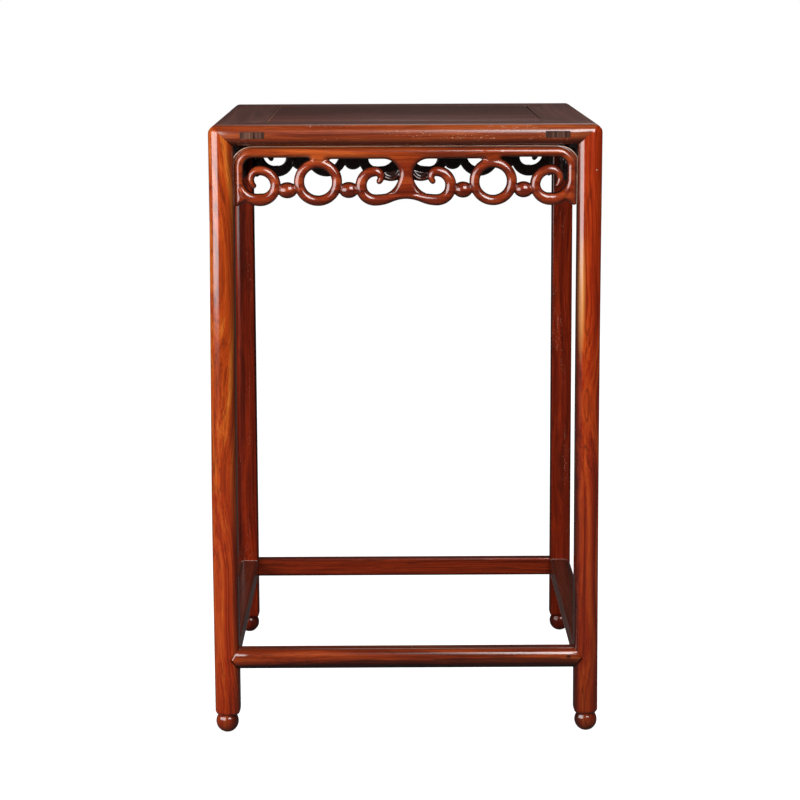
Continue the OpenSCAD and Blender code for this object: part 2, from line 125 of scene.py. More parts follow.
# Through tenons of the side rails, with their wedges
TENON_INSET = 40.0
TENON_W = 30.0
TENON_T = wedge_high[2] - wedge_low[2]
TENON_L = 69.0
TENON_X = stand_w / 2 - TENON_INSET - TENON_W / 2
TENON_Z = (wedge_low[2] + wedge_high[2]) / 2
TENON_PROUD = 0.1
TENON_ROUND = 1.5
TENON_EASE = 0.25
END_GRAIN_L = 1.0
JOINT_LINE = 0.15
WEDGE_T = 1.8
WEDGE_L = 12.0
WEDGE_TAPER = 3.0

# Panel: it covers the lower lip of the frame, and its front right corner has shrunk less than the rest
PANEL_T = 12.0
PANEL_TONGUE = 7.8
PANEL_EASE = 0.5
PANEL_COVERS = 4.0
PANEL_LIP = 3.5
PANEL_SKEW = 1.2
RAIL_LIP = 6.0

# Stretchers: a little higher than in the frame, those at the sides as deep as the legs, pointed shoulders
STRETCHER_BELOW = 0.9
STRETCHER_ABOVE = 0.3
SIDE_STRETCHER_INSET = 0.4
SIDE_STRETCHER_D = leg_w - SIDE_STRETCHER_INSET
STRETCHER_LOW = stretcher_low[2] - STRETCHER_BELOW
STRETCHER_HIGH = stretcher_high[2] + STRETCHER_ABOVE
SHOULDER_L = 9.5
SHOULDER_T = 7.0
SHOULDER_CHAMFER = 2.5

# Aprons: the board with its tongues, and its half width, height and top edge without them
APRON_T = 15.0
APRON_SETBACK = apron_low[1] + stand_d / 2
APRON_TENON = 5.5
APRON_TONGUE = 5.0
APRON_GAP = 1.0
TONGUE_T = 5.0
SIDE_TONGUE = 0.9
SIDE_TONGUE_END = 2.0
APRON_HALF = (apron_high[0] - apron_low[0]) / 2 - APRON_TENON
APRON_DROP = apron_high[2] - apron_low[2] - APRON_TONGUE
APRON_TOP = apron_high[2] - APRON_TONGUE

# Ledge round the board, with its lip, painted pale for wear and a highlight
LEDGE = 2.1
LEDGE_BACK = 5.0
LEDGE_W = 6.0
CORNER_R = 27.0
CORNER_X = 24.0
LIP_R = 0.5
LIP_END = 1.0
LIP_SIDES = 8

# Bar along the top and down beside the leg, where it ends in a pointed toe
BAR_W = 14.2
MID_BAR_W = 16.0
BAND = 12.4
BAR_R = 23.0
STRIP_W = 9.0
TOE_IN = 5.0
TOE_W = 10.9
TOE_H = 6.6

# End scrolls with their hooks; bands are widths along an arc
END_SCROLL_D = 49.5
END_SCROLL_X = 26.4
END_SCROLL_BANDS = (12.0, 12.2, 15.0)
END_SWEEP_BANDS = (15.0, 12.4, 10.3)
END_HOOK_D = 31.0
END_HOOK_TURN = 140.0
END_HOOK_BANDS = (12.0, 9.6, 6.4)
END_X = APRON_HALF - BAND / 2 - END_SCROLL_X

# Middle scrolls with their hooks, the forked sweep between them and the stem
MID_SCROLL_D = 47.8
MID_SCROLL_X = 38.3
MID_SCROLL_BANDS = (13.3, 13.9, 12.2)
MID_HOOK_D = 23.5
MID_HOOK_TURN = 140.0
MID_HOOK_BANDS = (12.2, 11.0, 7.0)
SWEEP_R = 100.0
SWEEP_BAND = 13.2
FORK_R = 50.0
FORK_FILLET = 23.0
STEM_W = 16.0
STEM_FILLET = 20.0

# Links from the middle hooks to the stem: a web behind a curved rim
LINK_DROP = 37.0
LINK_W = 10.0
LINK_T = 7.0
LINK_IN = 2.0
LINK_SAG = 2.0
LINK_RISE = 4.0
LINK_WEB = 3.0
LINK_ROUND = 1.0
RIM_R = 2.2
RIM_FILLET = 2.0
RIM_TO_STEM = 8.0
RIM_TO_HOOK = 4.0

# Rings and beads, in the room between the scrolls
RING_D = 58.0
RING_BAND = 12.2
RING_NECK = 18.0
NECK_FILLET = 4.0
BEAD_D = 19.8
BEAD_L = 24.0
BEAD_DROP = 54.0
BEAD_FILLET = 1.0
ROOM_START = MID_SCROLL_X + MID_SCROLL_D / 2
ROOM_END = END_X - END_SCROLL_D / 2
RING_X = (ROOM_START + ROOM_END) / 2
BEAD_STEP = (RING_D + (ROOM_END - ROOM_START - RING_D) / 2) / 2

# Rounding of the carving towards the front and the back, and the pitch of its net
FRONT_R = 6.5
BACK_R = 1.2
NET_PITCH = 1.0

# Cut by hand: what the carving of the front apron strays to the right, and what the back apron hangs lower
ASTRAY = 2.0
ASTRAY_X = -65.0
ASTRAY_REACH = 190.0
HANGS_LOWER = {"back": 2.0}

# Camera, from the photograph: an image 800 pixels wide and high
IMAGE = 800
FOCAL_PX = 2291.85
CENTRE_ROW = 320
SENSOR_W = 36
CAMERA_AT = (-17.72, -3008.06, 934.78)
CAMERA_YAW = 0.004
CAMERA_PITCH = -0.1471
CAMERA_ROLL = -0.0038

# Stage: the paper is dimmer up to a distance in metres, so that it shows the shadow of the stand
PAPER_SIZE = 6000
PAPER_GLOW = 0.86
PAPER_DIM_TO = (0.6, 1.6)
PAPER_TONE = 0.5
PAPER_BOUNCE = 0.05
PAPER_IN_GLOSS = 0.02
ROOM_LEVEL = 0.14

# Softboxes: place, target, width and height in metres, power in watts
SOFTBOXES = {
    "softbox_left": ((-1.25, -1.0, 0.85), (0, 0, 0.6), 1.7, 1.0, 30),
    "softbox_right": ((0.8, -1.9, 1.9), (0, 0, 0.6), 1.2, 1.4, 52),
    "softbox_back": ((0.5, 1.7, 2.5), (0, 0, 0.5), 1.6, 1.2, 10),
}


# Sides of the stand

def runs_along(side):
    """Axis that the members of a side run along."""
    return "X" if side in ("front", "back") else "Y"


def looks_along(side):
    """Axis and direction that the outer face of a side looks along."""
    return "Y" if runs_along(side) == "X" else "X", -1 if side in ("front", "left") else 1


def span(side):
    """Length of the stand along a side."""
    return stand_w if runs_along(side) == "X" else stand_d


def face_reach(side):
    """Distance from the middle of the stand to the outer face of a side."""
    return (stand_d if runs_along(side) == "X" else stand_w) / 2


def to_side(side):
    """Turns a member drawn with its outer face at y = 0 to its side of the stand."""
    turn = Matrix.Rotation(math.radians(90 * SIDES.index(side)), 4, "Z")
    return turn @ Matrix.Translation((0, -face_reach(side), 0))


# Outlines

def arc(centre, radius, start, turn, steps=ARC_STEPS):
    """Points along an arc, in degrees, both ends included."""
    angles = np.radians(np.linspace(start, start + turn, steps + 1))
    return [(centre[0] + radius * math.cos(a), centre[1] + radius * math.sin(a)) for a in angles]


def round_rect(width, height, radii, steps=ARC_STEPS):
    """Rectangle from the origin with a radius of its own at each corner, counterclockwise."""
    corners = ((0, 0, 180), (width, 0, 270), (width, height, 0), (0, height, 90))
    arcs = []
    for (x, y, start), r in zip(corners, radii):
        centre = (x + r if x == 0 else x - r, y + r if y == 0 else y - r)
        arcs.append(arc(centre, r, start, 90, steps))
    outline = []
    for here, after in zip(arcs, arcs[1:] + arcs[:1]):
        start, end = np.array(here[-1]), np.array(after[0])
        outline += here + [tuple(start + (end - start) * i / FLAT_STEPS) for i in range(1, FLAT_STEPS)]
    return np.array(outline)


def crowned(section, axis, length):
    """Lets the outer face that runs along an axis fall away from its middle towards its edges."""
    off_middle = 2 * section[:, axis] / length - 1
    near_face = np.clip(1 - section[:, 1 - axis] / OUTER_R, 0, 1)
    result = section.copy()
    result[:, 1 - axis] += CROWN * off_middle ** 2 * near_face
    return result


def draw_in(value, share):
    """Draws the rounded edge of a member in towards the centre line of its rounding."""
    return np.where(value < OUTER_R, OUTER_R - (OUTER_R - value) * share, value)


# Meshes

def loft(rings):
    """Closed mesh through rings of equal length, with a cap at each end."""
    bm = bmesh.new()
    rows = [[bm.verts.new(p) for p in ring] for ring in rings]
    count = len(rows[0])
    for lower, upper in zip(rows, rows[1:]):
        for i in range(count):
            j = (i + 1) % count
            bm.faces.new((lower[i], lower[j], upper[j], upper[i]))
    bm.faces.new(rows[0][::-1])
    bm.faces.new(rows[-1])
    return bm


def block(low, high):
    """Box between two corners."""
    bm = bmesh.new()
    bmesh.ops.create_cube(bm, size=1)
    low, high = np.array(low, float), np.array(high, float)
    bmesh.ops.scale(bm, vec=Vector(high - low), verts=bm.verts)
    bmesh.ops.translate(bm, vec=Vector((high + low) / 2), verts=bm.verts)
    return bm


def cut(bm, point, normal):
    """Takes off what lies beyond a plane, and closes the cut."""
    geometry = bm.verts[:] + bm.edges[:] + bm.faces[:]
    made = bmesh.ops.bisect_plane(bm, geom=geometry, plane_co=point, plane_no=normal, clear_outer=True)
    rim = [e for e in made["geom_cut"] if isinstance(e, bmesh.types.BMEdge)]
    bmesh.ops.contextual_create(bm, geom=rim)


def ease(bm, width, angle=50):
    """Takes the sharp arrises off."""
    bm.normal_update()
    sharp = [e for e in bm.edges if len(e.link_faces) == 2 and e.calc_face_angle(0) > math.radians(angle)]
    bmesh.ops.bevel(
        bm, geom=sharp, offset=width, segments=2, profile=0.5, affect="EDGES", clamp_overlap=True)


def add_mesh(bm, other):
    """Adds one mesh to another and frees it."""
    mesh = bpy.data.meshes.new("added")
    other.to_mesh(mesh)
    other.free()
    bm.from_mesh(mesh)
    bpy.data.meshes.remove(mesh)


def as_object(name, bm):
    """Object of a mesh drawn in millimetres."""
    bmesh.ops.recalc_face_normals(bm, faces=bm.faces[:])
    bm.transform(Matrix.Scale(MM, 4))
    mesh = bpy.data.meshes.new(name)
    bm.to_mesh(mesh)
    bm.free()
    obj = bpy.data.objects.new(name, mesh)
    bpy.context.scene.collection.objects.link(obj)
    return obj


def carve(obj, cutters):
    """Cuts other meshes out of a piece."""
    bpy.context.view_layer.objects.active = obj
    for bm in cutters:
        cutter = as_object("cutter", bm)
        tool = obj.modifiers.new("carve", "BOOLEAN")
        tool.operation = "DIFFERENCE"
        tool.solver = "EXACT"
        tool.object = cutter
        bpy.ops.object.modifier_apply(modifier=tool.name)
        bpy.data.objects.remove(cutter)


def settled(points):
    """Moves points by what the front legs lean and bow; the rest of the stand stays in place."""
    x, y, z = points.T
    reach = stand_w / 2 - SETTLED_FROM
    left = np.clip((-x - SETTLED_FROM) / reach, 0, 1) ** 2
    right = np.clip((x - SETTLED_FROM) / reach, 0, 1) ** 2
    front = np.clip(0.5 - y / stand_d, 0, 1)
    heights, lean = zip(*LEAN)
    bow = BOW * np.sin(math.pi * np.clip(z / stand_h, 0, 1))
    x = x + front * (left * np.interp(z, heights, lean) - right * bow)
    return np.stack([x, y, z], 1)


def make_piece(bm, node, how, materials, cutters=(), smooth_angle=35):
    """Piece of a mesh: carved, settled and shaded, with its materials, it stands for its CAD node."""
    obj = as_object(f"{node}_{how}", bm)
    carve(obj, cutters)
    vertices = obj.data.vertices
    points = np.empty(3 * len(vertices))
    vertices.foreach_get("co", points)
    vertices.foreach_set("co", (settled(points.reshape(-1, 3) / MM) * MM).ravel())
    for material in materials:
        obj.data.materials.append(material)
    obj.data.shade_smooth()
    obj.data.set_sharp_from_angle(angle=math.radians(smooth_angle))
    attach(obj, "root")
    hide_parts(node)


# Members

def leg_mesh(fuller):
    """Leg drawn from the outer corner inwards, with its ball foot and its two mitres."""
    section = round_rect(leg_w, leg_w, (OUTER_R, FACE_R, LEG_INNER_R, FACE_R))
    section = crowned(crowned(section, 0, leg_w), 1, leg_w)
    section[:, 0] *= 1 + fuller / leg_w
    middle = np.array([leg_w / 2, leg_w / 2])
    rays = section - middle
    rays = rays / np.linalg.norm(rays, axis=1)[:, None]
    rings = []

    def ring(points, z):
        rings.append([(x, y, z) for x, y in points])

    ball_z = BALL_R - BALL_FLAT
    for a in np.linspace(-math.asin(ball_z / BALL_R), math.acos(NECK_R / BALL_R), BALL_RINGS):
        ring(middle + rays * BALL_R * math.cos(a), ball_z + BALL_R * math.sin(a))
    ring(middle + rays * NECK_R, FOOT_H)
    inset = 1 - 2 * LEG_CHAMFER_W / leg_w
    for share in np.linspace(0, 1, CHAMFER_RINGS):
        bulge = math.sin(share * math.pi / 2)
        ring(middle + (section - middle) * (inset + (1 - inset) * bulge), FOOT_H + LEG_CHAMFER_H * share)
    for z in np.linspace(FOOT_H + LEG_CHAMFER_H, stand_h - OUTER_R, LEG_RINGS)[1:]:
        ring(section, z)
    for a in np.radians(np.linspace(0, LEG_TOP_TURN, EDGE_RINGS))[1:]:
        ring(draw_in(section, math.cos(a)), stand_h - OUTER_R * (1 - math.sin(a)))
    bm = loft(rings)
    cut(bm, (leg_w, 0, rail_z), (1, 0, 1))
    cut(bm, (0, leg_w, rail_z), (0, 1, 1))
    return bm


def shoulder_housing(swap):
    """Recess for the pointed shoulder of a stretcher in one outer face of a leg."""
    low, high = STRETCHER_LOW - JOINT_LINE, STRETCHER_HIGH + JOINT_LINE
    tip = (leg_w - SHOULDER_L - JOINT_LINE, (low + high) / 2)
    outline = [(leg_w + OVER, low), (leg_w + OVER, high), (leg_w, high), tip, (leg_w, low)]
    return loft([[(y, x, z) if swap else (x, y, z) for x, z in outline] for y in (-OVER, SHOULDER_T)])


def to_corner(bm, x_side, y_side):
    """Moves a mesh drawn from the outer corner inwards to its corner of the stand."""
    corner = Matrix.Translation((x_side * stand_w / 2, y_side * stand_d / 2, 0))
    bm.transform(corner @ Matrix.Diagonal((-x_side, -y_side, 1, 1)))
    return bm


def make_leg(node, x_side, y_side, fuller, material):
    """Leg with recesses for the shoulders of two stretchers."""
    housings = [to_corner(shoulder_housing(swap), x_side, y_side) for swap in (False, True)]
    make_piece(to_corner(leg_mesh(fuller), x_side, y_side), node, "turned", [material], housings)


def rail_mesh(side):
    """Rail with its rounded outer face, mitred to its neighbours and to the legs."""
    half = span(side) / 2
    height = stand_h - rail_z
    narrow = rail_w - PANEL_COVERS
    section = round_rect(narrow, height, (FACE_R, RAIL_INNER_R, RAIL_INNER_R, OUTER_R))
    under_panel = (section[:, 0] > narrow - 2 * RAIL_INNER_R) & (section[:, 1] < height - RAIL_LIP)
    section[under_panel, 0] += PANEL_COVERS
    section = crowned(section, 1, height) + np.array([0, rail_z])
    top = stand_h - OUTER_R
    turns = np.radians(np.linspace(RAIL_END_TURN, 90, EDGE_RINGS))
    ends = [half - OUTER_R * (1 - math.cos(a)) for a in turns]
    inner = list(np.linspace(OUTER_R - half, half - OUTER_R, RAIL_RINGS)[1:-1])
    rings = []
    for x in [-end for end in ends] + inner + ends[::-1]:
        depth = min(half - abs(x), OUTER_R)
        share = math.sqrt(max(OUTER_R ** 2 - (OUTER_R - depth) ** 2, 0)) / OUTER_R
        y = draw_in(section[:, 0], share)
        z = np.where(section[:, 1] > top, top + (section[:, 1] - top) * share, section[:, 1])
        rings.append([(x, py, pz) for py, pz in zip(y, z)])
    bm = loft(rings)
    for end in (-1, 1):
        cut(bm, (end * half, 0, 0), (end, 1, 0))
        cut(bm, (end * (half - leg_w), 0, rail_z), (end, 0, -1))
    ease(bm, ARRIS)
    bm.transform(to_side(side))
    return bm


def tenon_block(face, end, grow, stations):
    """Through tenon with rounded corners; each station is a depth behind the face and an inset."""
    outline = round_rect(TENON_W, TENON_T, [TENON_ROUND] * 4, TENON_STEPS) - np.array([TENON_W, TENON_T]) / 2
    rings = []
    for y, inset in stations:
        wide = 1 + 2 * (grow - inset) / TENON_W
        high = 1 + 2 * (grow - inset) / TENON_T
        rings.append([(end * TENON_X + px * wide, y, TENON_Z + pz * high) for px, pz in outline])
    bm = loft(rings)
    bm.transform(to_side(face))
    return bm


def make_mortised_rail(side, material):
    """Front or back rail with the mortises for the through tenons."""
    through = [(-OVER, 0), (rail_w + OVER, 0)]
    mortises = [tenon_block(side, end, JOINT_LINE, through) for end in (-1, 1)]
    make_piece(rail_mesh(side), f"rail_{side}", "planed", [material], mortises)


def make_tenoned_rail(side, material, end_material):
    """Side rail with the tenons whose ends show on the front and back."""
    bm = rail_mesh(side)
    stations = [(-TENON_PROUD, TENON_EASE), (TENON_EASE - TENON_PROUD, 0), (TENON_L, 0)]
    on_front = 1 if side == "right" else -1
    for face, end in (("front", on_front), ("back", -on_front)):
        tenon = tenon_block(face, end, 0, stations)
        for f in tenon.faces:
            f.material_index = int(abs(f.calc_center_median().y) > stand_d / 2 - END_GRAIN_L)
        add_mesh(bm, tenon)
    make_piece(bm, f"rail_{side}", "planed", [material, end_material])


def make_wedges(material):
    """Wedges in the through tenons, thinner towards their inner ends."""
    bm = bmesh.new()
    for face in ("front", "back"):
        for x in (-TENON_X, TENON_X):
            low = (x - WEDGE_T / 2, -2 * TENON_PROUD, wedge_low[2])
            wedge = block(low, (x + WEDGE_T / 2, WEDGE_L, wedge_high[2]))
            for v in wedge.verts:
                if v.co.y > 0:
                    v.co.x = x + (v.co.x - x) / WEDGE_TAPER
            wedge.transform(to_side(face))
            add_mesh(bm, wedge)
    make_piece(bm, "tenon_wedges", "driven", [material])


def make_panel(material):
    """Panel whose upper edge covers the lower lip of the frame, a little out of square."""
    rings = []
    for below, out in ((PANEL_T, 0), (PANEL_LIP, 0), (PANEL_LIP, PANEL_COVERS), (0, PANEL_COVERS)):
        (x0, y0), (x1, y1) = panel_low[:2] + PANEL_TONGUE - out, panel_high[:2] - PANEL_TONGUE + out
        corners = ((x0, y0), (x1 + PANEL_SKEW, y0), (x1, y1), (x0, y1))
        rings.append([(x, y, stand_h - below) for x, y in corners])
    bm = loft(rings)
    ease(bm, PANEL_EASE)
    make_piece(bm, "top_panel", "planed", [material])


def make_stretcher(side, material):
    """Stretcher with rounded front edges and pointed shoulders let into the legs."""
    half = span(side) / 2 - leg_w
    tip = half + SHOULDER_L
    depth = stretcher_d if runs_along(side) == "X" else SIDE_STRETCHER_D
    height = STRETCHER_HIGH - STRETCHER_LOW
    section = round_rect(depth, height, (FACE_R, STRETCHER_LOWER_R, STRETCHER_INNER_R, FACE_R))
    section = crowned(section, 1, height) + np.array([0, STRETCHER_LOW])
    bm = loft([[(x, y, z) for y, z in section] for x in np.linspace(-tip, tip, STRETCHER_RINGS)])
    middle_z = (STRETCHER_LOW + STRETCHER_HIGH) / 2
    wastes = []
    for end in (-1, 1):
        for up in (-1, 1):
            shoulder = Vector((end * height / 2, 0, up * SHOULDER_L)).normalized()
            cut(bm, (end * tip, 0, middle_z), shoulder)
            cut(bm, (end * tip, SHOULDER_CHAMFER, middle_z), shoulder - Vector((0, 1, 0)))
        x0, x1 = sorted((end * half, end * (tip + OVER)))
        waste = block((x0, SHOULDER_T, STRETCHER_LOW - OVER), (x1, depth + OVER, STRETCHER_HIGH + OVER))
        waste.transform(to_side(side))
        wastes.append(waste)
    bm.transform(to_side(side))
    make_piece(bm, f"stretcher_{side}", "planed", [material], wastes)


# Carved aprons: a field of distances to the outline, rounded over to the front

def join(a, b, fillet):
    """Union of two distances with a hollow fillet of the given radius."""
    corner = np.hypot(np.maximum(fillet - a, 0), np.maximum(fillet - b, 0))
    return np.maximum(fillet, np.minimum(a, b)) - corner


def both(a, b):
    """Distance to what two shapes share, true outside their corner too."""
    return np.hypot(np.maximum(a, 0), np.maximum(b, 0)) + np.minimum(np.maximum(a, b), 0)


def arc_distance(x, y, centre, outer_r, start, turn, widths):
    """Distance to a band inside an arc, counterclockwise from start, whose width changes along it."""
    dx, dy = x - centre[0], y - centre[1]
    along = np.mod(np.degrees(np.arctan2(dy, dx)) - start - turn / 2 + 180, 360) - 180 + turn / 2
    along = np.clip(along, 0, turn)
    width = np.interp(along / turn, np.linspace(0, 1, len(widths)), widths)
    radius = outer_r - width / 2
    angle = np.radians(start + along)
    return np.hypot(dx - radius * np.cos(angle), dy - radius * np.sin(angle)) - width / 2


def line_distance(x, y, start, end, width):
    """Distance to a straight band with round ends."""
    sx, sy = end[0] - start[0], end[1] - start[1]
    share = np.clip(((x - start[0]) * sx + (y - start[1]) * sy) / (sx * sx + sy * sy), 0, 1)
    return np.hypot(x - start[0] - share * sx, y - start[1] - share * sy) - width / 2


def box_distance(x, y, low, high):
    """Distance to a rectangle."""
    return both(np.maximum(low[0] - x, x - high[0]), np.maximum(low[1] - y, y - high[1]))


def bar_outline(x, y):
    """Bar along the top, round the corner and down the leg into the end scroll and its hook."""
    edge = APRON_HALF - LEDGE
    inside, corner_y = edge - BAR_R, -LEDGE - BAR_R
    bar_y, mid_y = -(LEDGE + BAR_W) / 2, -(LEDGE + MID_BAR_W) / 2
    side_x = APRON_HALF - (LEDGE + BAND) / 2
    turn_r = END_SCROLL_X + BAND / 2 - LEDGE
    turn_y = turn_r - APRON_DROP
    scroll_y = END_SCROLL_D / 2 - APRON_DROP
    hook_y = END_SCROLL_D - APRON_DROP - END_HOOK_D / 2
    corner_bands = (BAND - LEDGE, BAR_W - LEDGE)
    toe = box_distance(x, y, (END_X, -APRON_DROP), (edge, turn_y))
    slant = (TOE_H * (APRON_HALF - TOE_IN - x) - TOE_W * (y + APRON_DROP)) / math.hypot(TOE_W, TOE_H)
    hollow = turn_r - BAND / 2 - np.hypot(x - END_X, y - turn_y)
    return reduce(np.minimum, (
        line_distance(x, y, (-BAR_W, bar_y), (inside, bar_y), BAR_W - LEDGE),
        line_distance(x, y, (-BAR_W, mid_y), (RING_X, mid_y), MID_BAR_W - LEDGE),
        arc_distance(x, y, (inside, corner_y), BAR_R, 0, 90, corner_bands),
        line_distance(x, y, (side_x, corner_y), (side_x, turn_y), BAND - LEDGE),
        box_distance(x, y, (edge - STRIP_W, TOE_H - APRON_DROP), (edge, turn_y)),
        arc_distance(x, y, (END_X, turn_y), turn_r, 270, 90, END_SWEEP_BANDS),
        np.maximum(np.maximum(toe, slant), hollow),
        arc_distance(x, y, (END_X, scroll_y), END_SCROLL_D / 2, 90, 180, END_SCROLL_BANDS),
        arc_distance(2 * END_X - x, y, (END_X, hook_y), END_HOOK_D / 2, 90, END_HOOK_TURN, END_HOOK_BANDS)))


def ring_outline(x, y):
    """Ring with the neck that joins it to the bar."""
    from_middle = np.hypot(x - RING_X, y + APRON_DROP - RING_D / 2)
    ring = np.abs(from_middle - (RING_D - RING_BAND) / 2) - RING_BAND / 2
    low = (RING_X - RING_NECK / 2, RING_D - APRON_DROP - RING_BAND / 2)
    return np.minimum(ring, box_distance(x, y, low, (RING_X + RING_NECK / 2, -BAR_W / 2)))


def scroll_outline(x, y):
    """Middle scroll with its hook."""
    scroll_at = (MID_SCROLL_X, MID_SCROLL_D / 2 - APRON_DROP)
    hook_at = (MID_SCROLL_X, MID_SCROLL_D - APRON_DROP - MID_HOOK_D / 2)
    return np.minimum(
        arc_distance(x, y, scroll_at, MID_SCROLL_D / 2, 270, 180, MID_SCROLL_BANDS),
        arc_distance(x, y, hook_at, MID_HOOK_D / 2, 90, MID_HOOK_TURN, MID_HOOK_BANDS))


def fork_outline(x, y, foot):
    """Stem down to its foot, and the sweep that runs from there to the middle scroll."""
    reach = math.degrees(math.asin(MID_SCROLL_X / (SWEEP_R - SWEEP_BAND / 2)))
    sweep_at = (MID_SCROLL_X, SWEEP_R - APRON_DROP)
    sweep = arc_distance(x, y, sweep_at, SWEEP_R, 270 - reach, reach, (SWEEP_BAND, SWEEP_BAND))
    stem = box_distance(x, y, (-STEM_W, foot), (STEM_W / 2, -BAR_W / 2))
    fork = np.where(y > foot, join(sweep, stem, STEM_FILLET), np.minimum(sweep, stem))
    lobes = [np.hypot(x - at, y + APRON_DROP - FORK_R) - FORK_R for at in (-MID_SCROLL_X, MID_SCROLL_X)]
    under = (x < MID_SCROLL_X) & (y < FORK_R - APRON_DROP)
    return np.where(under, np.maximum(fork, join(*lobes, FORK_FILLET)), fork)


def apron_outline(x, y):
    """Distance to the outline of an apron without its beads; it is symmetric about x = 0."""
    x = np.abs(x)
    frame_work = join(bar_outline(x, y), ring_outline(x, y), NECK_FILLET)
    foot = SWEEP_R - APRON_DROP - math.sqrt((SWEEP_R - SWEEP_BAND / 2) ** 2 - MID_SCROLL_X ** 2)
    fork = fork_outline(x, y, foot)
    hollow = (y > foot) & (y < -(LEDGE + BAR_W) / 2)
    whole = np.where(hollow, join(frame_work, fork, STEM_FILLET), np.minimum(frame_work, fork))
    return np.minimum(whole, scroll_outline(x, y))


def edge_distance(x, y):
    """Distance to the outer edge of the board: straight top and sides, with large rounded corners."""
    x = np.abs(x)
    straight = np.maximum(y, x - APRON_HALF)
    corner = np.hypot(x - APRON_HALF + CORNER_X, y + CORNER_R) - CORNER_R
    in_corner = (x > APRON_HALF - CORNER_X) & (y > -CORNER_R)
    return np.where(in_corner, np.maximum(straight, corner), straight)


def link_distance(x, y, z):
    """Distance to the links: a low web behind a rim that sags between the hook and the stem."""
    near = STEM_W / 2 - LINK_IN
    far = MID_SCROLL_X - MID_HOOK_D / 3
    middle = (near + far) / 2
    reach = far - middle
    off = np.clip((np.abs(x) - middle) / reach, -1, 1)
    sag = LINK_SAG * (0.5 - off ** 2)
    lift = LINK_RISE / 2 * ((1 - off) / 2) ** 2
    dy = np.abs(y + LINK_DROP + sag - lift) - LINK_W / 2 - lift + LINK_ROUND
    dz = np.abs(z - LINK_WEB / 2 - BACK_R) - LINK_WEB / 2 + LINK_ROUND
    web = both(dy, dz) - LINK_ROUND
    rise = np.where(off < 0, RIM_TO_STEM, RIM_TO_HOOK)
    rim_y = RIM_R - LINK_DROP - LINK_W / 2 - sag + rise * off ** 2
    slope = 2 * (LINK_SAG + rise) * off / reach
    before = np.maximum(z - LINK_T - BACK_R + RIM_R, 0)
    rim = np.maximum(np.hypot((y - rim_y) / np.hypot(1, slope), before) - RIM_R, BACK_R - z)
    return np.maximum(join(web, rim, RIM_FILLET), np.abs(np.abs(x) - middle) - reach)


def apron_field(x, y, z):
    """Distance to the carved apron: outline rounded over to the front, beads, ledge and tongues."""
    r = np.where(z > APRON_T / 2, FRONT_R, BACK_R)
    off_middle = np.abs(z - APRON_T / 2)
    body = both(apron_outline(x, y) + r, off_middle - APRON_T / 2 + r) - r
    edge = edge_distance(x, y)
    ledge = reduce(np.maximum, (
        edge, -LEDGE_W - edge, LIP_END - APRON_DROP - y, BACK_R - z, z - APRON_T + LEDGE_BACK))
    body = reduce(np.minimum, (body, link_distance(x, y, z), ledge))
    across = np.abs(np.abs(np.abs(x) - RING_X) - BEAD_STEP) * BEAD_D / BEAD_L
    bead = np.sqrt(across ** 2 + (y + BEAD_DROP) ** 2 + (z - APRON_T + BEAD_D / 2) ** 2) - BEAD_D / 2
    bead = np.maximum(bead, -z)
    into_rail = np.maximum(np.abs(y) - APRON_GAP, np.abs(x) - APRON_HALF + CORNER_X)
    tongue_low = (APRON_HALF - BAND / 2, SIDE_TONGUE_END - APRON_DROP)
    into_leg = box_distance(np.abs(x), y, tongue_low, (APRON_HALF + SIDE_TONGUE, -CORNER_R))
    tongues = np.maximum(np.minimum(into_rail, into_leg), off_middle - TONGUE_T / 2)
    return np.minimum(join(body, bead, BEAD_FILLET), tongues)


def lip_rings():
    """Fine arris along the front of the ledge: up one side, along the top and down the other side."""
    lowest = math.degrees(math.acos(CORNER_X / CORNER_R))
    corner = arc((APRON_HALF - CORNER_X, -CORNER_R), CORNER_R - LIP_R, lowest, 90 - lowest)
    path = [(APRON_HALF - LIP_R, LIP_END - APRON_DROP)] + corner
    path = np.array(path + [(-x, y) for x, y in path[::-1]])
    along = np.gradient(path, axis=0)
    along = along / np.linalg.norm(along, axis=1)[:, None]
    turns = np.linspace(0, 2 * math.pi, LIP_SIDES, endpoint=False)
    rings = []
    for (x, y), (tx, ty) in zip(path, along):
        rings.append([(x - ty * LIP_R * math.cos(a), y + tx * LIP_R * math.cos(a),
                       APRON_T - LEDGE_BACK + LIP_R * math.sin(a)) for a in turns])
    return rings


def surface_net(field, origin, pitch):
    """Quads round the inside (negative values) of a field sampled on a regular grid."""
    cells = np.array(field.shape) - 1
    total = np.zeros((*cells, 3))
    count = np.zeros(cells)
    inside = field < 0
    steps = np.eye(3, dtype=int)

    def values(corner):
        return field[tuple(slice(c, c + n) for c, n in zip(corner, cells))]

    for axis in range(3):
        along, u, v = (steps[(axis + n) % 3] for n in range(3))
        for a, b in ((0, 0), (0, 1), (1, 0), (1, 1)):
            corner = a * u + b * v
            start, end = values(corner), values(corner + along)
            crossed = (start < 0) != (end < 0)
            at = np.tile(corner.astype(float), (int(crossed.sum()), 1))
            at[:, axis] = start[crossed] / (start[crossed] - end[crossed])
            total[crossed] += at
            count[crossed] += 1
    active = count > 0
    index = np.full(cells, -1)
    index[active] = np.arange(int(active.sum()))
    points = (np.argwhere(active) + total[active] / count[active][:, None]) * pitch + origin
    quads = []
    for axis in range(3):
        along, u, v = (steps[(axis + n) % 3] for n in range(3))
        at = np.argwhere(np.diff(inside, axis=axis))
        at = at[((at > 0) & (at < cells) | (along > 0)).all(axis=1)]
        around = [at - a * u - b * v for a, b in ((1, 1), (0, 1), (0, 0), (1, 0))]
        ring = np.stack([index[tuple(cell.T)] for cell in around], 1)
        quads.append(np.where(inside[tuple(at.T)][:, None], ring, ring[:, ::-1]))
    return points, np.concatenate(quads)


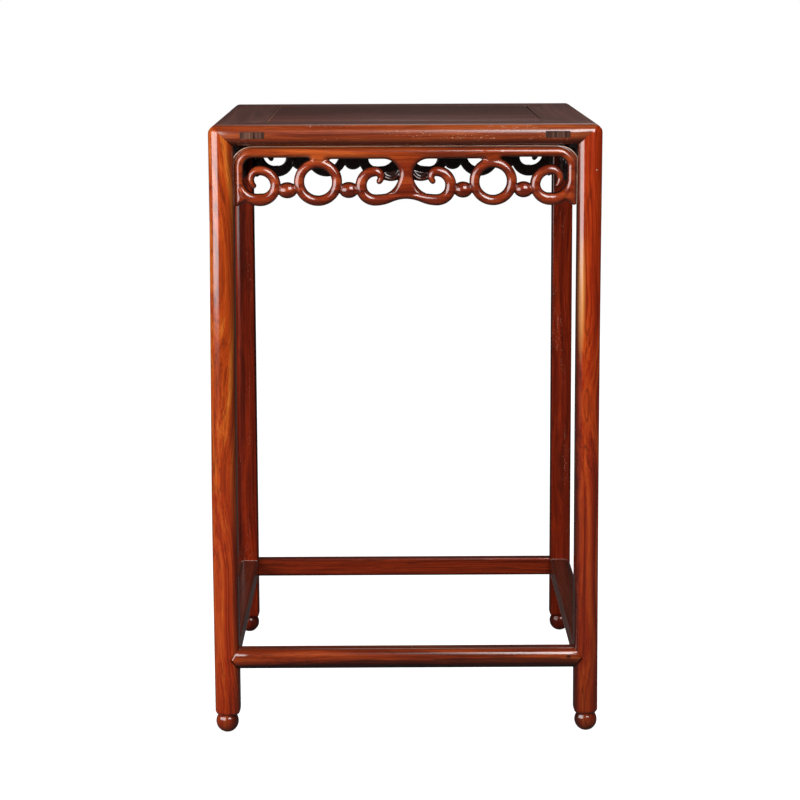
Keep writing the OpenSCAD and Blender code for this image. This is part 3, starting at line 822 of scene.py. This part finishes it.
def settle(points, distance, steps=3, reach=0.05):
    """Moves points onto the surface of a field along its slope."""
    for _ in range(steps):
        value = distance(*points.T)
        slope = np.stack([
            distance(*(points + shift).T) - distance(*(points - shift).T) for shift in np.eye(3) * reach], 1)
        slope = slope / np.maximum(np.linalg.norm(slope, axis=1), 1e-9)[:, None]
        points = points - slope * np.clip(value, -NET_PITCH / 2, NET_PITCH / 2)[:, None]
    return points


def apron_shape():
    """Points and faces of an apron drawn flat: top edge at y = 0, back at z = 0."""
    margin = 2 * NET_PITCH
    low = np.array([-APRON_HALF - margin, -APRON_DROP - margin, -margin])
    high = np.array([APRON_HALF + margin, margin, APRON_T + margin])
    axes = [np.arange(a, b, NET_PITCH) for a, b in zip(low, high)]
    grid = np.meshgrid(*axes, indexing="ij", sparse=True)
    points, quads = surface_net(apron_field(*grid), low, NET_PITCH)
    points = settle(points, apron_field)
    lip = loft(lip_rings())
    lip.verts.index_update()
    arris = [[v.index + len(points) for v in face.verts] for face in lip.faces]
    points = np.concatenate([points, [tuple(v.co) for v in lip.verts]])
    lip.free()
    return points, (quads.tolist(), arris)


def hand_cut(points, side):
    """Lets the carving of an apron stray a little from the drawing."""
    x, y, z = points.T
    if side == "front":
        off = np.clip((x - ASTRAY_X) / ASTRAY_REACH, -1, 1)
        x = x + ASTRAY * np.cos(off * math.pi / 2) ** 2
    y = np.where(y < 0, y * (1 + HANGS_LOWER.get(side, 0) / APRON_DROP), y)
    return x, y, z


def make_apron(side, shape, materials):
    """Apron of the carved shape, stood up and turned to its side; its lip has a material of its own."""
    points, parts = shape
    x, y, z = hand_cut(points, side)
    stood = np.stack([x, APRON_SETBACK + APRON_T - z, y + APRON_TOP, np.ones(len(x))])
    turned = np.array(to_side(side)) @ stood
    bm = bmesh.new()
    rows = [bm.verts.new(p) for p in turned[:3].T]
    for number, faces in enumerate(parts):
        for face in faces:
            bm.faces.new([rows[i] for i in face]).material_index = number
    make_piece(bm, f"apron_{side}", "carved", materials, smooth_angle=80)


# Materials

# Tones of the woods, as screen colours: dark, middle and light
AMBER = ((100, 32, 6), (162, 58, 10), (204, 112, 36))
RED = ((82, 18, 5), (150, 41, 8), (196, 80, 22))
DEEP = ((58, 13, 4), (108, 27, 7), (150, 46, 13))
STRETCHER = ((66, 20, 7), (122, 41, 12), (182, 80, 28))
BACK_STRETCHER = ((58, 15, 6), (106, 30, 9), (150, 50, 16))
SIDE_STRETCHER = ((50, 20, 13), (84, 38, 26), (118, 62, 44))
BROWN_TOP = ((80, 48, 42), (102, 61, 54), (123, 79, 69))
RAIL = ((72, 24, 8), (124, 46, 15), (172, 84, 36))
CARVED = ((86, 26, 8), (144, 54, 15), (188, 90, 34))
LIP_WEAR_AND_HIGHLIGHT = ((140, 104, 84), (186, 150, 128), (220, 190, 170))
END_GRAIN = ((22, 11, 9), (44, 24, 19), (118, 82, 68))
WEDGE = ((50, 32, 26), (76, 50, 40), (110, 80, 64))
BATTEN = ((50, 30, 20), (84, 54, 36), (112, 78, 54))

# Tones of age, dirt and dust, and of painted shade, highlights and reflection
PORE = (38, 12, 6)
DIRT_AND_SHADE = (24, 11, 8)
UNDERSIDE_SHADE = (30, 12, 8)
INNER_SIDE_SHADE = (36, 14, 8)
CARVED_WALL_SHADE = (44, 16, 9)
UPPER_FACE_SHADE = (52, 20, 12)
SCRATCH = (236, 186, 156)
SEAM_HIGHLIGHT = (176, 124, 94)
EDGE_DUST_AND_REFLECTION = (232, 212, 192)
JOINT_DUST_AND_HIGHLIGHT = (238, 222, 206)

# Textures: scale per metre along and across the grain, then detail, roughness and distortion
DRIFT = (4.0, 8.0, 1)
FIGURE = (2.2, 70.0, 3, 0.55, 0.3)
STREAK = (4.0, 260.0, 4, 0.6, 0.2)
FIBRE = (30.0, 1500.0, 2)
PORES = (60.0, 2400.0, 1)
VEINS = (1.6, 110.0, 2, 0.5)
SCRATCHES = (320.0, 1000.0, 1)
SCRATCH_GROUPS = (14.0, 90.0, 2)
HEART_EDGE = (12.0, 60.0, 3)

# Edge of the dark heart, in millimetres: how far it wanders, and how soft it is
HEART_WANDER = 2.5
HEART_SOFT = 0.8

# Lacquer on polished faces and on dull ones
COAT = 0.9
DULL_COAT = 0.5
THIN_COAT = 0.35
COAT_IOR = 1.75


def linear(red, green, blue):
    """Linear colour of an 8-bit screen colour."""
    share = [c / 255 for c in (red, green, blue)]
    return [c / 12.92 if c <= 0.04045 else ((c + 0.055) / 1.055) ** 2.4 for c in share] + [1]


class Tree:
    """Short hand for making the nodes of a material or a world."""

    def __init__(self, owner):
        owner.use_nodes = True
        self.nodes = owner.node_tree.nodes
        self.links = owner.node_tree.links
        self.nodes.clear()

    def add(self, kind, inputs=None, **settings):
        node = self.nodes.new(kind)
        for key, value in settings.items():
            setattr(node, key, value)
        for key, value in (inputs or {}).items():
            if isinstance(value, bpy.types.NodeSocket):
                self.links.new(value, node.inputs[key])
            else:
                node.inputs[key].default_value = value
        return node

    def math(self, operation, a, b):
        return self.add("ShaderNodeMath", {0: a, 1: b}, operation=operation).outputs[0]

    def plus(self, a, b):
        return self.math("ADD", a, b)

    def times(self, a, b):
        return self.math("MULTIPLY", a, b)

    def span(self, value, low, high, to_low=0.0, to_high=1.0):
        node = self.add("ShaderNodeMapRange", {0: value, 1: low, 2: high, 3: to_low, 4: to_high})
        return node.outputs[0]

    def vector(self, operation, a, b):
        return self.add("ShaderNodeVectorMath", {0: a, 1: b}, operation=operation).outputs[0]

    def length(self, a):
        return self.add("ShaderNodeVectorMath", {0: a}, operation="LENGTH").outputs["Value"]

    def coords(self):
        return self.add("ShaderNodeTexCoord").outputs["Object"]

    def geometry(self, name):
        return self.add("ShaderNodeNewGeometry").outputs[name]

    def part(self, vector, axis):
        return self.add("ShaderNodeSeparateXYZ", {0: vector}).outputs[axis]

    def mix(self, share, a, b, blend="MIX"):
        node = self.add("ShaderNodeMix", {0: share, 6: a, 7: b}, data_type="RGBA", blend_type=blend)
        return node.outputs[2]

    def ramp(self, value, stops):
        node = self.add("ShaderNodeValToRGB", {0: value})
        elements = node.color_ramp.elements
        while len(elements) < len(stops):
            elements.new(0.5)
        for element, (place, colour) in zip(elements, stops):
            element.position = place
            element.color = colour
        return node.outputs[0]

    def noise(self, coords, grain, along, across, detail=2, roughness=0.5, distortion=0.0):
        """Noise drawn out along the grain."""
        scale = [along if axis == grain else across for axis in "XYZ"]
        node = self.add("ShaderNodeTexNoise", {
            "Vector": self.vector("MULTIPLY", coords, scale), "Scale": 1.0, "Detail": detail,
            "Roughness": roughness, "Distortion": distortion})
        return node.outputs["Fac"]

    def facing(self, axis, outward=1):
        """How far a surface looks along one axis of the stand."""
        return self.times(self.part(self.geometry("Normal"), axis), outward)

    def place(self, axis):
        """Place along one axis of the stand, in metres."""
        return self.part(self.coords(), axis)

    def between(self, axis, start, end, share=1.0):
        """Share that grows from one place along an axis to another, in millimetres."""
        return self.span(self.place(axis), start * MM, end * MM, 0, share)

    def behind(self, side, start, end, share=1.0):
        """Share that grows from one depth behind the outer face of a side to another, in millimetres."""
        axis, outward = looks_along(side)
        depth = self.plus(self.times(self.place(axis), -outward), face_reach(side) * MM)
        return self.span(depth, start * MM, end * MM, 0, share)


def wood(name, grain, tones, place=(0, 0, 0), polish=0.28, sway=0.012, coat=COAT, coat_rough=0.15,
         layers=()):
    """Polished rosewood: wandering figure, dark veins, fibre and open pores, then layers of age and wear,
    and of painted shade, highlights and reflection.
    """
    material = bpy.data.materials.new(name)
    tree = Tree(material)
    coords = tree.vector("ADD", tree.coords(), place)
    drift = tree.span(tree.noise(coords, grain, *DRIFT), 0.3, 0.7, -sway, sway)
    aside = tree.add("ShaderNodeCombineXYZ", {axis: drift for axis in "XYZ" if axis != grain}).outputs[0]
    bent = tree.vector("ADD", coords, aside)
    figure = tree.noise(bent, grain, *FIGURE)
    streak = tree.noise(bent, grain, *STREAK)
    fibre = tree.noise(bent, grain, *FIBRE)
    pore = tree.span(tree.noise(bent, grain, *PORES), 0.62, 0.72)
    line = tree.math("SUBTRACT", tree.noise(bent, grain, *VEINS), 0.5)
    vein = tree.span(tree.math("ABSOLUTE", line, 0.0), 0.004, 0.03, 0.55, 0.0)
    tone = tree.plus(tree.times(figure, 0.6), tree.times(streak, 0.4))
    dark, middle, light = (linear(*t) for t in tones)
    colour = tree.ramp(tree.span(tone, 0.33, 0.67), [(0.0, dark), (0.45, middle), (1.0, light)])
    grainy = tree.ramp(fibre, [(0.3, (0.72, 0.7, 0.7, 1)), (0.7, (1.18, 1.18, 1.15, 1))])
    colour = tree.mix(1.0, colour, grainy, "MULTIPLY")
    colour = tree.mix(vein, colour, dark)
    colour = tree.mix(tree.times(pore, 0.55), colour, linear(*PORE))
    worn_edge = tree.span(tree.geometry("Pointiness"), 0.54, 0.64, 0, 0.35)
    colour = tree.mix(worn_edge, colour, light)
    rough = tree.span(streak, 0.3, 0.7, polish - 0.04, polish + 0.06)
    look = {"coords": coords, "grain": grain, "tone": tone, "colour": colour, "rough": rough, "coat": coat}
    for layer, *values in layers:
        layer(tree, look, *values)
    height = tree.math("SUBTRACT", tree.times(fibre, 0.35), pore)
    bump = tree.add("ShaderNodeBump", {"Strength": 0.1, "Distance": 0.0002, "Height": height})
    shader = tree.add("ShaderNodeBsdfPrincipled", {
        "Base Color": look["colour"], "Roughness": look["rough"], "Normal": bump.outputs[0],
        "Specular IOR Level": 0.06, "Coat Weight": look["coat"], "Coat Roughness": coat_rough,
        "Coat IOR": COAT_IOR})
    tree.add("ShaderNodeOutputMaterial", {0: shader.outputs[0]})
    return material


# Layers of age and wear, and of painted shade, highlights and reflection, given to a wood as a function and
# its values: each changes the look of the wood

def stain(tree, look, share, tone, dull=0.0):
    """Paints a tone over the colour, and takes some of the polish off."""
    look["colour"] = tree.mix(share, look["colour"], linear(*tone))
    if dull:
        look["rough"] = tree.plus(look["rough"], tree.times(share, dull))


def patina(tree, look, darker, paler, share=0.95):
    """Dull brown surface of the faces that look up."""
    aged_face = tree.span(tree.facing("Z"), 0.86, 0.93, 0, share)
    aged = tree.mix(tree.span(look["tone"], 0.3, 0.7), linear(*darker), linear(*paler))
    look["colour"] = tree.mix(aged_face, look["colour"], aged)
    look["rough"] = tree.plus(look["rough"], tree.times(aged_face, 0.2))
    look["coat"] = tree.span(aged_face, 0, share, look["coat"], DULL_COAT)


def flecks(tree, look, share):
    """Short pale scratches along the grain, in groups."""
    mark = tree.span(tree.noise(look["coords"], look["grain"], *SCRATCHES), 0.64, 0.72)
    group = tree.span(tree.noise(look["coords"], look["grain"], *SCRATCH_GROUPS), 0.54, 0.66)
    mark = tree.times(mark, group)
    look["colour"] = tree.mix(tree.times(mark, share), look["colour"], linear(*SCRATCH))
    look["rough"] = tree.plus(look["rough"], tree.times(mark, 0.2))


def dirt_and_recess_shade(tree, look, side, start, end, share):
    """Dark dirt along the panel seam, and painted shade in the deep recesses of the carving: darker with
    depth behind the outer face of a side, in millimetres.
    """
    stain(tree, look, tree.behind(side, start, end, share), DIRT_AND_SHADE, 0.25)


def painted_underside_shade(tree, look, share):
    """Painted shade: faces that look down are painted darker and duller."""
    stain(tree, look, tree.span(tree.facing("Z"), 0.0, -0.75, 0, share), UNDERSIDE_SHADE, 0.2)


def shaded_inner_side(tree, look, x_side, share):
    """Painted shade: the side of a leg that looks in towards the leg beside it is painted darker."""
    stain(tree, look, tree.span(tree.facing("X", -x_side), 0.3, 0.9, 0, share), INNER_SIDE_SHADE)


def shaded_carved_sides(tree, look, side, share):
    """Painted shade: walls of carved work, which turn away from the face of the board, are painted darker.
    """
    stain(tree, look, tree.span(tree.facing(*looks_along(side)), 0.8, 0.2, 0, share), CARVED_WALL_SHADE)


def shaded_top(tree, look, share):
    """Painted shade: the upper face of a stretcher is painted darker."""
    stain(tree, look, tree.span(tree.facing("Z"), 0.75, 0.95, 0, share), UPPER_FACE_SHADE)


def painted_seam_highlight(tree, look, share):
    """Painted highlight: a pale line along the left edge of the panel."""
    edge = panel_low[0] + PANEL_TONGUE - PANEL_COVERS
    stain(tree, look, tree.between("X", edge + 2.0, edge + 1.0, share), SEAM_HIGHLIGHT)


def edge_dust_and_reflection(tree, look, side):
    """Pale dust and wear, with a painted reflection of the floor, along the lower inner edge of a side
    stretcher.
    """
    inner = tree.behind(side, SIDE_STRETCHER_D - 1.0, SIDE_STRETCHER_D - 0.3)
    low = tree.between("Z", STRETCHER_LOW + 4.0, STRETCHER_LOW + 3.0)
    stain(tree, look, tree.times(inner, low), EDGE_DUST_AND_REFLECTION)


def joint_dust_and_highlight(tree, look, share):
    """Pale dust with a painted highlight in the upper corner where a side stretcher meets the back leg."""
    leg_y = stand_d / 2 - leg_w
    near = tree.between("Y", leg_y - 2.0, leg_y - 0.5)
    high = tree.between("Z", STRETCHER_HIGH - 2.0, STRETCHER_HIGH - 0.5, share)
    stain(tree, look, tree.times(near, high), JOINT_DUST_AND_HIGHLIGHT)


def spot(tree, look, at, radii, tone, share):
    """Soft mark at a place, with a reach of its own along each axis, in millimetres."""
    off = tree.vector("SUBTRACT", tree.coords(), [c * MM for c in at])
    far = tree.length(tree.vector("MULTIPLY", off, [1 / (r * MM) for r in radii]))
    stain(tree, look, tree.span(far, 1.0, 0.4, 0, share), tone)


def deepen(tree, look, high, low, tint):
    """Colour that turns towards a tint between two heights, in millimetres."""
    look["colour"] = tree.mix(tree.between("Z", high, low), look["colour"], (*tint, 1), "MULTIPLY")


def heartwood(tree, look, left, right, tint):
    """Dark heart below a slanting line: its share of the height at the left end and from the middle."""
    height = (STRETCHER_HIGH - STRETCHER_LOW) * MM
    line = tree.span(tree.place("X"), (leg_w - stand_w / 2) * MM, 0, left * height, right * height)
    above = tree.math("SUBTRACT", tree.place("Z"), tree.plus(line, STRETCHER_LOW * MM))
    wander = tree.noise(look["coords"], look["grain"], *HEART_EDGE)
    above = tree.plus(above, tree.span(wander, 0.3, 0.7, -HEART_WANDER * MM, HEART_WANDER * MM))
    below = tree.span(above, HEART_SOFT * MM, -HEART_SOFT * MM)
    look["colour"] = tree.mix(below, look["colour"], (*tint, 1), "MULTIPLY")


# Pieces

# Legs: sides in x and y, how much fuller in x, tones, sway of the figure, coat, layers of their own
PALE_PATCH = (spot, (214.5, -236, 555), (6, 16, 90), (226, 146, 70), 0.8)
NICK = (spot, (232.4, -240, 707), (1.0, 8, 1.0), (230, 200, 190), 0.9)
RIGHT_LEG_LAYERS = [(deepen, 500, 100, (0.72, 0.78, 0.9)), PALE_PATCH, NICK]
FOOT_TINT = (deepen, FOOT_H + 1, FOOT_H, (0.7, 0.85, 1.4))
legs = {
    "leg_front_left": (-1, -1, 1.6, AMBER, 0.016, COAT, [(deepen, 420, 250, (0.9, 0.6, 0.6))]),
    "leg_front_right": (1, -1, 0.4, RED, 0.014, COAT, RIGHT_LEG_LAYERS),
    "leg_back_left": (-1, 1, 0, DEEP, 0.006, THIN_COAT, [(flecks, 0.12)]),
    "leg_back_right": (1, 1, 0, DEEP, 0.006, THIN_COAT, [(flecks, 0.2)]),
}
for number, (node, (x_side, y_side, fuller, tones, sway, coat, layers)) in enumerate(legs.items()):
    # Painted shade on the side of each leg that looks in towards its neighbour.
    layers = layers + [(shaded_inner_side, x_side, 0.75), FOOT_TINT]
    shift = (0.37 * number, 0.21 * number, 0.5 * number)
    material = wood(node + "_wood", "Z", tones, shift, sway=sway, coat=coat, layers=layers)
    make_leg(node, x_side, y_side, fuller, material)

# Top frame: each rail takes its figure from another place in the wood
rail_shifts = {
    "front": (0.3, 0.1, 0.7), "back": (1.3, 0.4, 0.2), "left": (0.8, 0.5, 0.1), "right": (0.2, 0.9, 0.6)}
seam = rail_w - PANEL_COVERS
rail_woods = {}
for side, shift in rail_shifts.items():
    # Painted shade on the faces that look down; dark dirt along the panel seam.
    layers = [(painted_underside_shade, 0.8), (flecks, 0.75), (patina, BROWN_TOP[0], BROWN_TOP[2]),
              (dirt_and_recess_shade, side, seam - 0.6, seam - 0.3, 0.97)]
    rail_woods[side] = wood(
        f"rail_{side}_wood", runs_along(side), RAIL, shift, sway=0.002, coat_rough=0.22, layers=layers)
end_grain = wood("tenon_end_grain", "Z", END_GRAIN, polish=0.45, sway=0.001)
for side in ("front", "back"):
    make_mortised_rail(side, rail_woods[side])
for side in ("left", "right"):
    make_tenoned_rail(side, rail_woods[side], end_grain)
make_wedges(wood("wedge_wood", "Z", WEDGE, polish=0.5))
# The pale line along the left edge of the panel is a painted highlight.
layers = [(flecks, 0.3), (painted_seam_highlight, 0.8)]
make_panel(wood(
    "top_panel_wood", "X", BROWN_TOP, (0.5, 0.2, 0.9), polish=0.4, coat=DULL_COAT, layers=layers))

# Aprons and stretchers, side by side; the front stretcher has a dark heart and a knot
HEART = (heartwood, 0.27, 0.56, (0.42, 0.5, 0.7))
KNOT = (spot, (202.3, -240, 98.8), (4.5, 6, 3.2), (34, 14, 8), 0.85)
shape = apron_shape()
# The lip of each apron is painted pale: wear and a painted highlight.
lip_wood = wood("apron_arris_wear_and_highlight", "X", LIP_WEAR_AND_HIGHLIGHT, polish=0.35)
for number, side in enumerate(SIDES):
    grain = runs_along(side)
    # Painted shade on the carved walls, on the faces that look down and in the deep recesses.
    layers = [(deepen, 724, 715, (0.74, 0.58, 0.75)), (shaded_carved_sides, side, 0.85), (painted_underside_shade, 0.5),
              (dirt_and_recess_shade, side, APRON_SETBACK + 2.5, APRON_SETBACK + 8.0, 0.94)]
    shift = (0.43 * number, 0.3, 0.17 * number)
    carved = wood(f"apron_{side}_wood", grain, CARVED, shift, sway=0.003, layers=layers)
    make_apron(side, shape, [carved, lip_wood])
    tones = {"front": STRETCHER, "back": BACK_STRETCHER}.get(side, SIDE_STRETCHER)
    coat = COAT if side == "front" else DULL_COAT
    shift = (0.29 * number, 0.6, 0.4 * number)
    # Painted shade on the faces that look down and on the upper face; at the sides, pale dust with a painted
    # reflection along the lower edge and a painted highlight at the joint.
    marks = {"front": [HEART, KNOT], "back": []}.get(side, [(edge_dust_and_reflection, side), (joint_dust_and_highlight, 0.9)])
    layers = [(painted_underside_shade, 0.8), (shaded_top, 0.6)] + marks
    material = wood(f"stretcher_{side}_wood", grain, tones, shift, sway=0.004, coat=coat, layers=layers)
    make_stretcher(side, material)

batten_wood = wood("batten_wood", "Y", BATTEN, polish=0.6)
for node in ("batten_left", "batten_right"):
    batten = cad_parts[node]
    batten.data.materials.clear()
    batten.data.materials.append(batten_wood)


# Stage: floor, light and camera

def make_floor():
    """Pale paper: white to the camera, with the shadow of the stand, and dim to all other light."""
    bm = bmesh.new()
    bmesh.ops.create_grid(bm, x_segments=1, y_segments=1, size=PAPER_SIZE)
    obj = as_object("floor", bm)
    material = bpy.data.materials.new("floor_paper")
    tree = Tree(material)
    path = tree.add("ShaderNodeLightPath").outputs
    seen = tree.math("MAXIMUM", path["Is Camera Ray"], path["Is Transmission Ray"])
    glow = tree.times(seen, tree.span(tree.length(tree.coords()), *PAPER_DIM_TO, PAPER_GLOW, 1.0))
    glow = tree.plus(glow, tree.times(path["Is Glossy Ray"], PAPER_IN_GLOSS))
    diffuse = tree.add("ShaderNodeBsdfDiffuse", {"Color": tree.span(seen, 0, 1, PAPER_BOUNCE, PAPER_TONE)})
    light = tree.add("ShaderNodeEmission", {"Color": (1, 1, 1, 1), "Strength": glow})
    paper = tree.add("ShaderNodeAddShader", {0: diffuse.outputs[0], 1: light.outputs[0]})
    tree.add("ShaderNodeOutputMaterial", {0: paper.outputs[0]})
    obj.data.materials.append(material)


def make_world():
    """White behind the stand for the camera, a dim room for the light on it."""
    world = bpy.data.worlds.new("studio")
    tree = Tree(world)
    path = tree.add("ShaderNodeLightPath").outputs
    levels = {"Is Camera Ray": 1.0, "Is Transmission Ray": 1.0, "Is Glossy Ray": PAPER_IN_GLOSS,
              "Is Diffuse Ray": ROOM_LEVEL}
    strength = reduce(tree.plus, [tree.times(path[ray], level) for ray, level in levels.items()])
    background = tree.add("ShaderNodeBackground", {"Color": (1, 1, 1, 1), "Strength": strength})
    tree.add("ShaderNodeOutputWorld", {0: background.outputs[0]})
    bpy.context.scene.world = world


def add_softbox(name, place, target, width, height, power):
    """Rectangular lamp that looks at a target."""
    light = bpy.data.lights.new(name, "AREA")
    light.shape = "RECTANGLE"
    light.size = width
    light.size_y = height
    light.energy = power
    obj = bpy.data.objects.new(name, light)
    obj.location = place
    obj.rotation_euler = (Vector(target) - Vector(place)).to_track_quat("-Z", "Y").to_euler()
    bpy.context.scene.collection.objects.link(obj)


def make_camera():
    """Camera at the photograph's place, turned by yaw, pitch and roll."""
    data = bpy.data.cameras.new("camera")
    data.sensor_width = SENSOR_W
    data.sensor_fit = "HORIZONTAL"
    data.lens = data.sensor_width * FOCAL_PX / IMAGE
    data.shift_y = (CENTRE_ROW - IMAGE / 2) / IMAGE
    obj = bpy.data.objects.new("camera", data)
    tilt = Matrix.Rotation(math.pi / 2 + CAMERA_PITCH, 4, "X")
    turn = Matrix.Rotation(-CAMERA_YAW, 4, "Z") @ tilt @ Matrix.Rotation(CAMERA_ROLL, 4, "Z")
    obj.matrix_world = Matrix.Translation(Vector(CAMERA_AT) * MM) @ turn
    bpy.context.scene.collection.objects.link(obj)
    bpy.context.scene.camera = obj


make_floor()
make_world()
for name, values in SOFTBOXES.items():
    add_softbox(name, *values)
make_camera()
bpy.context.scene.view_settings.view_transform = "Standard"
